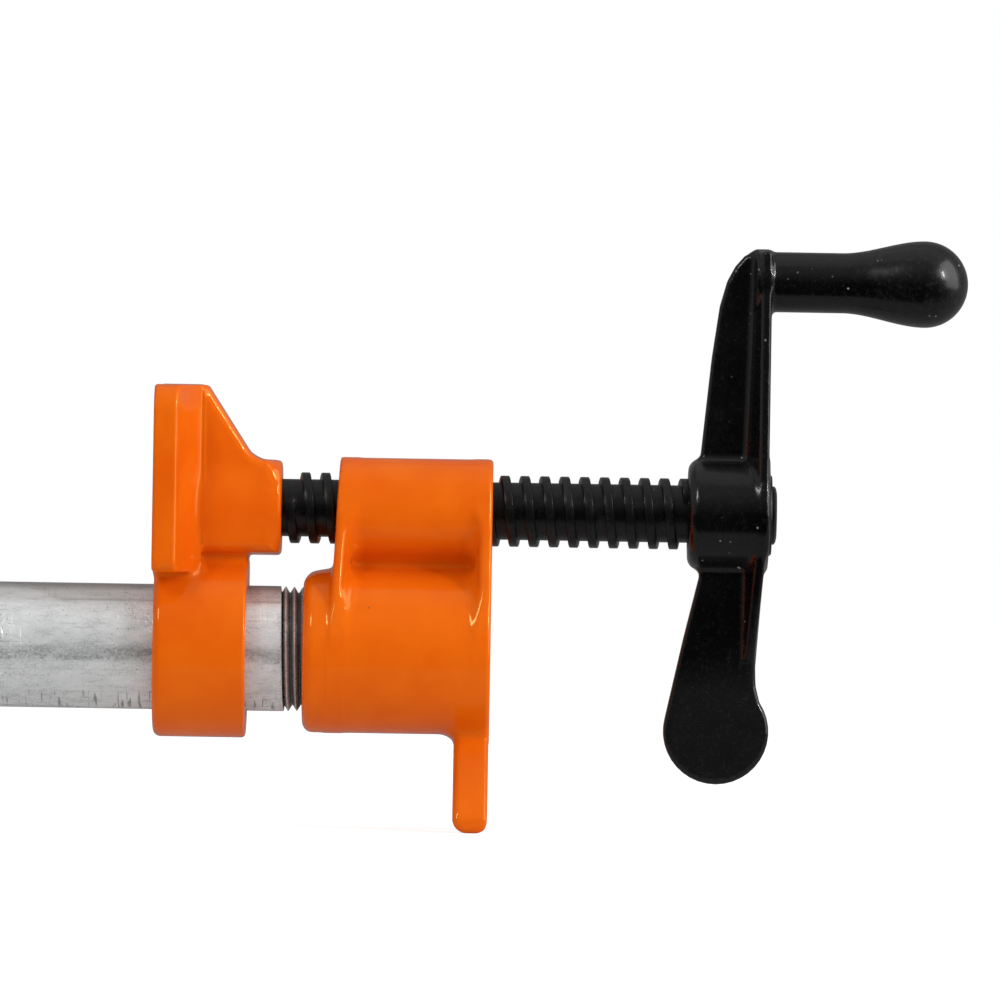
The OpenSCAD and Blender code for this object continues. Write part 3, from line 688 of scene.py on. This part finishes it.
def jaw_field(x, y, z):
    """Moving jaw: pad, rib with the screw's boss behind it, neck, and the ring on the pipe."""
    s = x - jaw_low.x
    up = z - SCREW_Z
    top, end = jaw_high.z, jaw_high.x - jaw_low.x
    boss_low, boss_high = SCREW_Z - JAW_BOSS_R, SCREW_Z + JAW_BOSS_R
    neck_end = 20.5
    ring = ring_field(s, y, z, -jaw_low.z, 0.5, neck_end, 1.7, 0.9)
    slope_turn = arc((24.4, boss_high + 5.0), 5.0, 214, 270)
    boss = trim(rod(y, up, JAW_BOSS_R), s - end + BOSS_SHORT, 0.9)
    boss = trim(boss, 4 - s, 0.5)
    rib = rib_field(s, y, z, [(2, 20.5), (2, top), (11.4, top), *slope_turn, (26, 38), (26, 20.5)],
                    JAW_RIB_HALF, 2.2)
    neck = rib_field(s, y, z, [(1.5, 8), (1.5, 28), (neck_end, 28), (neck_end, 8)], JAW_NECK_HALF, 1.0)
    shape = join(join(rib, boss, 3.0), neck, 1.0)
    shape = join(shape, pad_field(s, y, z), 0.9)
    side_view = outline(s, z, [(-2, -25), (-2, top), (11.4, top), *slope_turn, (end + 2, boss_high),
                               (end + 2, boss_low), (neck_end, boss_low), (neck_end, -25)])
    shape = trim(join(shape, ring, 1.8), side_view, 0.9)
    shape = trim(shape, s - end + BOSS_SHORT, 0.9)
    shape = trim(shape, -s, 0.9)
    shape = cut(shape, rod(y, z, SLIDE_R), 0.7)
    shape = cut(shape, np.maximum(rod(y, up, ROOT_R + 0.15), NECK_FLOOR - s), 0.5)
    shape = cut(shape, rod(y, up, NOSE_HOLE_R), 0.3)
    return cut(shape, np.maximum(rod(y, up, RECESS_R), s - RECESS_DEPTH), 0.6)


PLATE_STOP = 22.3                           # where the first clutch plate leans, from the tail's face
PLATE_PIVOT = 27.4                          # height of the edge that the plates tip on
PLATE_T = 2.6
PLATE_STEP = 2.75                           # from each plate to the next
PLATE_LEAN = math.radians(8)
PLATE_HOLE_R = 13.9


def tail_field(x, y, z):
    """Tail stop: pad, rib and spine, a ring on the pipe at each end, and the plates' window between them."""
    s = tail_high.x - x
    length = tail_high.x - tail_low.x
    slot_top = PLATE_PIVOT + 0.9
    pivot_low = PLATE_PIVOT - 0.4
    spine_top = slot_top + 5.6
    back = length - 8.0
    slot_end = back - 7.15
    top = tail_high.z - 0.5
    ring_top = PIPE_R + 2.4
    rib = rib_field(s, y, z, [(2, 18), (2, top), (11.8, top), (28.5, spine_top), (PLATE_STOP, slot_top),
                              (PLATE_STOP, pivot_low), (16.3, 14)], 9.0, 1.0)
    spine = rib_field(s, y, z, [(4, 14), (4, spine_top), (length - 0.2, spine_top), (length - 0.2, 14)],
                      8.0, 1.4)
    spine = trim(spine, (s + z - length - spine_top + 6) * math.sqrt(0.5), 3.0)
    ring = ring_field(s, y, z, -jaw_low.z, 0.5, 15.0, 1.5, 0.9)
    rear = ring_field(s, y, z, PIPE_R + 4.2, back, length, 0.9, 1.2)
    window = np.maximum(outline(s, z, [
        (14.8, -30), (14.8, ring_top), (PLATE_STOP - 3.2, ring_top), (PLATE_STOP, pivot_low),
        (PLATE_STOP, slot_top), (slot_end, slot_top), (slot_end, 19.2), (back, 19.2), (back, -30)]),
        np.abs(y) - 30)
    shape = join(rib, spine, 4.0)
    shape = cut(shape, window, 0.6)
    shape = join(shape, pad_field(s, y, z), 1.2)
    shape = join(shape, ring, 1.8)
    shape = join(shape, rear, 1.2)
    shape = join(shape, foot_field(s, y, z, 3.2, -13.0), 3.0)
    # the window is cut again through the fillets, and the rings' ends in it are put back
    shape = cut(shape, window, 0.6)
    shape = join(shape, ring, 0.8)
    shape = join(shape, rear, 0.6)
    shape = trim(shape, -s, 0.9)
    return cut(shape, rod(y, z, SLIDE_R), 0.7)


WEB_HALF = 3.2                              # half the thickness of the arm and of the paddle
PADDLE_R = 11.2
PADDLE_X = 5.7                              # the paddle's middle, from HUB_X
PADDLE_DROP = 46.1
HUB_X = crank_low.x + PADDLE_R - PADDLE_X   # the paddle is the crank's foremost part
HUB_R = 11.8
HUB_LENGTH = 16.0                           # from HUB_X to the crank's back face
HUB_PROUD = 1.0                             # the hub's front stands this far before HUB_X
HUB_RECESS = 0.5                            # its recess for the thread's end goes this far behind HUB_X
TANG_HALF = 4.2                             # half the width of the screw's square tang
KNOB_RISE = 49.6
KNOB_NECK_R = 6.4
KNOB_END_R = 9.2


def knob_field(s, y, z, length):
    """Knob that leaves the arm as a neck and swells to a ball. s starts at the crank's back face."""
    ball = length - KNOB_END_R
    neck = length * 0.36
    swell = smooth(np.clip((s - neck) / (ball - neck), 0, 1))
    radius = KNOB_NECK_R + (KNOB_END_R - KNOB_NECK_R) * swell
    shank = np.maximum((rod(y, z, 0) - radius) * 0.96, s - ball)
    shank = np.maximum(shank, -3 - s)
    end = np.sqrt((s - ball) ** 2 + y * y + z * z) - KNOB_END_R
    return np.minimum(shank, end)


def crank_field(x, y, z):
    """Crank: hub, arm with a flange along its back, knob, and a counterweight paddle below."""
    s = x - HUB_X
    up = z - SCREW_Z
    side = np.abs(y)
    back = HUB_LENGTH
    foot_round = arc((PADDLE_X, -PADDLE_DROP), PADDLE_R, 166, 395, 24)
    hub = trim(trim(rod(y, up, HUB_R), -HUB_PROUD - s, 2.6), s - back, 0.7)
    upper = outline(s, up, [(0.9, 0), (1.6, 13), (3.6, 33.4), (5.1, 44.2), (6.6, 49.6), (8.3, 52.8),
                            (10.2, 55.0), (12.6, 56.0), (back + 2, 56.1), (back + 2, 0)])
    arm = trim(trim(upper, s - back + 0.5, 0.5), side - WEB_HALF + 0.018 * np.maximum(up, 0), 1.0)
    leg = outline(s, up, [(1.6, 0), (1.6, -13.4), (-1.5, -26.4), *foot_round, (14.0, -36.2), (13.6, -32.2),
                          (14.2, -19.3), (14.9, -9), (14.9, 0)])
    leg = trim(leg, side - WEB_HALF, 1.0)
    flange_half = HUB_R - 0.5                # beside the hub, narrower away from it
    narrow_up = flange_half - (flange_half - 6.3) * np.clip(up / (KNOB_RISE + KNOB_NECK_R), 0, 1)
    narrow_down = flange_half - (HUB_R - WEB_HALF) * np.clip(-up / 38.0, 0, 1)
    half = np.where(up > 0, narrow_up, narrow_down)
    rim = np.maximum((side - half) * 0.985, -up - 38)
    front = (back - 1.9 - 0.42 * np.clip(half - side, 0, 7) - s) * 0.93
    bend = 0.09 * np.maximum(-up - 4, 0)
    flange = trim(trim(rim, front - bend, 0.7), s - back + bend, 0.7)
    flange = trim(flange, np.where(up > 4, upper, -4.0), 0.8)
    shape = join(arm, flange, 1.4)
    shape = join(shape, leg, 1.2)
    shape = join(shape, hub, 1.3)
    shape = join(shape, knob_field(s - back, y, up - KNOB_RISE, crank_high.x - HUB_X - back), 1.1)
    shape = cut(shape, np.maximum(rod(y, up, SCREW_R + 0.15), s - HUB_RECESS), 0.2)
    return cut(shape, np.maximum(side, np.abs(up)) - TANG_HALF - 0.05, 0.3)


def make_castings():
    orange = orange_enamel()
    black = black_enamel()
    for node, field, material, body, slot in (
            ("head_casting", head_field, orange, "head", "orange_enamel"),
            ("jaw_casting", jaw_field, orange, "jaw", "orange_enamel"),
            ("tail_casting", tail_field, orange, "tail", "orange_enamel"),
            ("crank_casting", crank_field, black, "screw", "black_enamel")):
        low, high = corners(node)
        mesh = solid_mesh(node + "_cast", field, low, high, CAST_STEP)
        add_piece(mesh, node + "_cast", material, body, node)


# ---------------------------------------------------------------- turned and threaded pieces

def plain_mesh(name, points, faces, sharp):
    """Mesh that is smooth, apart from edges with more than that many degrees between their faces."""
    mesh = bpy.data.meshes.new(name)
    mesh.from_pydata(points, [], faces)
    mesh.validate()
    mesh.shade_smooth()
    mesh.set_sharp_from_angle(angle=math.radians(sharp))
    return mesh


class Skin:
    """Collects the rings and faces of a shape turned about an axis along X."""

    def __init__(self, columns, height=0.0):
        self.columns = columns
        self.height = height
        self.points = []
        self.faces = []

    def point(self, x, r, column):
        angle = 2 * math.pi * column / self.columns
        self.points.append((x * MM, -r * math.sin(angle) * MM, (self.height + r * math.cos(angle)) * MM))
        return len(self.points) - 1

    def ring(self, x, r):
        return [self.point(x, r, column) for column in range(self.columns)]

    def join(self, first, second):
        """Faces between two rings. The first is the one with the lower X on an outside wall."""
        for i in range(self.columns):
            n = (i + 1) % self.columns
            self.faces.append((first[i], second[i], second[n], first[n]))

    def turned(self, profile):
        """Walls through (x, r) points in turn. Returns the first ring and the last."""
        rings = [self.ring(x, r) for x, r in profile]
        for a, b in zip(rings, rings[1:]):
            self.join(a, b)
        return rings[0], rings[-1]

    def cap(self, ring, faces_forward):
        self.faces.append(tuple(reversed(ring)) if faces_forward else tuple(ring))

    def thread(self, before, after, start_x, pitch, turns, profile, plain, full, fades, late=0.0):
        """A helical ridge between two rings. profile has (offset, height) points across the ridge. plain
        gives the radius that it fades to at an x, and full the radius for a height at an x. It fades in
        over fades[0] turns, beginning late turns after its start, and out over the last fades[1] turns."""
        n = self.columns
        last = int(turns * n)
        rows = []
        for j in range(last + 1):
            s = smooth(max(0.0, min(1.0, (j / n - late) / fades[0], (last - j) / n / fades[1])))
            row = []
            for offset, height in profile:
                x = start_x + pitch * j / n + offset
                base = plain(x)
                row.append(self.point(x, base + (full(x, height) - base) * s, j % n))
            rows.append(row)
        width = len(profile)
        for j in range(last):
            a, b = rows[j], rows[j + 1]
            for k in range(width - 1):
                self.faces.append((a[k], a[k + 1], b[k + 1], b[k]))
            if j + n < last:
                self.faces.append((a[-1], rows[j + n][0], rows[j + 1 + n][0], b[-1]))
        for j in range(n - 1):
            self.faces.append((before[j], rows[j][0], rows[j + 1][0], before[j + 1]))
        self.faces.append((before[n - 1], rows[n - 1][0], rows[n][0], *reversed(rows[0]), before[0]))
        head = last - n
        for j in range(head + 1, last):
            self.faces.append((rows[j][-1], after[j % n], after[(j + 1) % n], rows[j + 1][-1]))
        self.faces.append((rows[head][-1], *rows[last], after[last % n], after[(head + 1) % n],
                           rows[head + 1][-1]))

    def mesh(self, name, sharp):
        return plain_mesh(name, self.points, self.faces, sharp)


def ridge(crest, base, lip):
    """Profile of one thread ridge from flank to flank, with its crest's corners eased."""
    half_crest, half_base = crest / 2, base / 2
    return [(-half_base, 0.0), (-half_crest - lip * 0.3, 1 - lip), (-half_crest + lip * 0.2, 1 - lip * 0.25),
            (-half_crest + lip, 1.0), (half_crest - lip, 1.0), (half_crest - lip * 0.2, 1 - lip * 0.25),
            (half_crest + lip * 0.3, 1 - lip), (half_base, 0.0)]


def make_screw(material):
    """Screw with its coarse thread, plain neck, grooved nose, squared tang and riveted end."""
    skin = Skin(72, SCREW_Z)
    nose_r, groove, groove_width = 4.0, 0.7, 1.3
    shank_x = jaw_low.x + NECK_FLOOR + 1.2      # before it is the thrust washer
    groove_x = jaw_low.x + RECESS_DEPTH - 1.2 - 1.4
    groove_end = groove_x + groove_width
    crest, base, depth = 1.74, 2.1, SCREW_R - ROOT_R
    first_x = jaw_high.x + 0.13
    end_x = HUB_X + HUB_RECESS - 0.05
    turns = (end_x - 0.3 - base / 2 - first_x) / SCREW_PITCH
    nose, start = skin.turned([
        (screw_low.x, nose_r - 0.5), (screw_low.x + 0.5, nose_r), (groove_x, nose_r),
        (groove_x, nose_r - groove), (groove_end, nose_r - groove), (groove_end, nose_r),
        (shank_x, nose_r), (shank_x, ROOT_R - 0.3), (shank_x + 0.3, ROOT_R),
        (first_x - base / 2 - 0.3, ROOT_R)])
    skin.cap(nose, False)
    end = skin.ring(end_x, ROOT_R)
    skin.cap(end, True)
    skin.thread(start, end, first_x, SCREW_PITCH, turns, ridge(crest, base, 0.13),
                lambda x: ROOT_R, lambda x, height: ROOT_R + depth * height, (0.35, 0.1), 0.15)
    rivet_x = rivet_washer_high.x + 0.05
    head, tip = skin.turned([
        (rivet_x, ROOT_R - 0.2), (rivet_x, ROOT_R + 0.1), (rivet_x + 0.45, ROOT_R + 0.1),
        (rivet_x + 0.8, ROOT_R - 0.35), (rivet_x + 1.0, ROOT_R - 1.3), (rivet_x + 1.05, 2.2),
        (rivet_x + 0.9, 1.6), (rivet_x + 0.8, 0.4)])
    skin.cap(head, False)
    skin.cap(tip, True)
    first = len(skin.points)
    for x in (end_x - 0.5, rivet_x + 0.2):
        for y, up in ((-1, -1), (1, -1), (1, 1), (-1, 1)):
            skin.points.append((x * MM, y * TANG_HALF * MM, (SCREW_Z + up * TANG_HALF) * MM))
    a, b = range(first, first + 4), range(first + 4, first + 8)
    skin.faces += [(a[i], a[(i + 1) % 4], b[(i + 1) % 4], b[i]) for i in range(4)]
    skin.faces += [tuple(reversed(a)), tuple(b)]
    add_piece(skin.mesh("screw_turned", 30), "screw_turned", material, "screw", "screw")


def make_pipe(material):
    """Pipe with its plain drawn wall, bore, and a cut taper thread with a sharp V at each end."""
    skin = Skin(96)
    taper = 1 / 32
    crest, base = 0.22, 1.62
    profile = [(-base / 2, 0.0), (-crest / 2, 0.94), (0.0, 1.0), (crest / 2, 0.94), (base / 2, 0.0)]
    left_x = pipe_low.x + PIPE_THREAD
    right_x = pipe_high.x - PIPE_THREAD
    turns = (PIPE_THREAD - 2.5) / PIPE_PITCH
    start_x = right_x + 1.15 - PIPE_PITCH       # so that its ridges lie where the photograph has them

    def plain(x):
        return PIPE_R - taper * max(x - right_x, left_x - x, 0.0)

    def full(x, height):
        return plain(x) - THREAD_DEPTH * (1 - height)

    bore_low, bore_high = skin.turned([(pipe_low.x + 0.5, BORE_R), (pipe_high.x - 0.5, BORE_R)])
    skin.faces = [tuple(reversed(face)) for face in skin.faces]
    end_low = skin.ring(pipe_low.x, BORE_R + 0.5)
    skin.join(end_low, bore_low)
    end_high = skin.ring(pipe_high.x, BORE_R + 0.5)
    skin.join(bore_high, end_high)
    outer_low = skin.ring(pipe_low.x, full(pipe_low.x, 0) - 0.2)
    skin.join(outer_low, end_low)
    outer_high = skin.ring(pipe_high.x, full(pipe_high.x, 0) - 0.2)
    skin.join(end_high, outer_high)
    first = skin.ring(left_x, PIPE_R)
    last = skin.ring(start_x - base, PIPE_R)
    skin.join(first, last)
    skin.thread(last, outer_high, start_x, PIPE_PITCH, turns + 0.85, profile, plain, full, (0.3, 0.12), 0.6)
    skin.thread(outer_low, first, pipe_low.x + 1.5, PIPE_PITCH, turns, profile, plain, full, (0.12, 0.3))
    add_piece(skin.mesh("pipe_threaded", 28), "pipe_threaded", material, "head", "pipe")


def make_rivet_washer(material):
    skin = Skin(64, SCREW_Z)
    low, high = rivet_washer_low.x, rivet_washer_high.x
    hole_r, r = 4.4, rivet_washer_high.z - SCREW_Z
    skin.turned([(high, hole_r), (high, r - 0.35), (high - 0.2, r - 0.08), (high - 0.4, r),
                 (low, r), (low, hole_r), (high, hole_r)])
    skin.faces = [tuple(reversed(face)) for face in skin.faces]
    name = "rivet_washer_stamped"
    add_piece(skin.mesh(name, 35), name, material, "screw", "rivet_washer")


# ---------------------------------------------------------------- the clutch

def plate_field(a, b, c):
    """One clutch plate in its own frame: a through its thickness, c up from the edge that it tips on."""
    drop = PLATE_PIVOT / math.cos(PLATE_LEAN) - PLATE_T / 2 * math.tan(PLATE_LEAN)
    collar = rod(b, c + drop, PLATE_HOLE_R + 5.2)
    tongue = box_outline(b, c, 12.0, -PLATE_PIVOT, 0.0, 0.5, 1.5)
    tab = box_outline(b, c, 10.0, -PLATE_PIVOT - 33.0, -PLATE_PIVOT + 5, 3.5, 0.5)
    shape = join(join(collar, tongue, 1.5), tab, 2.5)
    shape = cut(shape, rod(b, c + drop, PLATE_HOLE_R), 0.25)
    return trim(shape, between(a, -PLATE_T, 0.0), 0.45)


def make_plates(material):
    low, high = (-PLATE_T, -19.5, -60.6), (0.0, 19.5, 0.1)
    flat = solid_mesh("clutch_plate", plate_field, low, high, 0.55)
    turn = Matrix.Rotation(-PLATE_LEAN, 4, "Y")
    for i in range(4):
        pivot_x = tail_high.x - PLATE_STOP - 0.1 - i * PLATE_STEP
        mesh = flat.copy()
        mesh.transform(Matrix.Translation((pivot_x * MM, 0, PLATE_PIVOT * MM)) @ turn)
        node = f"clutch_plate_{i + 1}"
        add_piece(mesh, node + "_stamped", material, f"plate_{i + 1}", node)


def make_spring(material):
    """Coil spring: its front follows the leaning plate, its rear is square on the rear ring."""
    turns, columns, sides = 3, 40, 12
    wire, mean = 0.9, 16.2
    seat = 0.1
    last_back = PLATE_STOP + 0.1 + 3 * PLATE_STEP + PLATE_T / math.cos(PLATE_LEAN)
    rear = last_back + 7.6 - wire - seat
    steps = turns * columns
    points, faces = [], []
    for j in range(steps + 1):
        angle = 2 * math.pi * j / columns
        out = Vector((0, math.sin(angle), math.cos(angle)))
        front = last_back - (PLATE_PIVOT - mean * out.z) * math.tan(PLATE_LEAN)
        front += wire / math.cos(PLATE_LEAN) + seat
        middle = Vector((tail_high.x - (rear + (front - rear) * j / steps), 0, 0)) + out * mean
        for k in range(sides):
            around = 2 * math.pi * k / sides
            edge = out * math.sin(around) + Vector((math.cos(around), 0, 0))
            points.append((middle + edge * wire) * MM)
    for j in range(steps):
        for k in range(sides):
            n = (k + 1) % sides
            faces.append((sides * j + k, sides * (j + 1) + k, sides * (j + 1) + n, sides * j + n))
    faces.append(tuple(range(sides)))
    faces.append(tuple(reversed(range(sides * steps, sides * (steps + 1)))))
    mesh = plain_mesh("clutch_spring_coiled", points, faces, 50)
    add_piece(mesh, "clutch_spring_coiled", material, "tail", "clutch_spring")


# ---------------------------------------------------------------- the scene

def dress(node, material):
    """Gives a CAD node that is shown as it is its finish."""
    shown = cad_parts[node]
    shown.data.materials.clear()
    shown.data.materials.append(material)


make_camera()
bpy.context.scene.view_settings.view_transform = "Standard"
make_world()
make_floor(floor_paper())
make_lights()

make_castings()
oxide = black_oxide()
make_screw(oxide)
make_rivet_washer(oxide)
make_pipe(galvanised())
make_plates(plated("zinc_plate", (0.62, 0.61, 0.57), 160))
wire_steel = plated("spring_wire", (0.36, 0.36, 0.37), 300)
make_spring(wire_steel)
washer_steel = plated("plain_washer_steel", (0.55, 0.55, 0.56), 220)
dress("thrust_washer", washer_steel)
dress("nose_washer", washer_steel)
dress("retaining_ring", wire_steel)
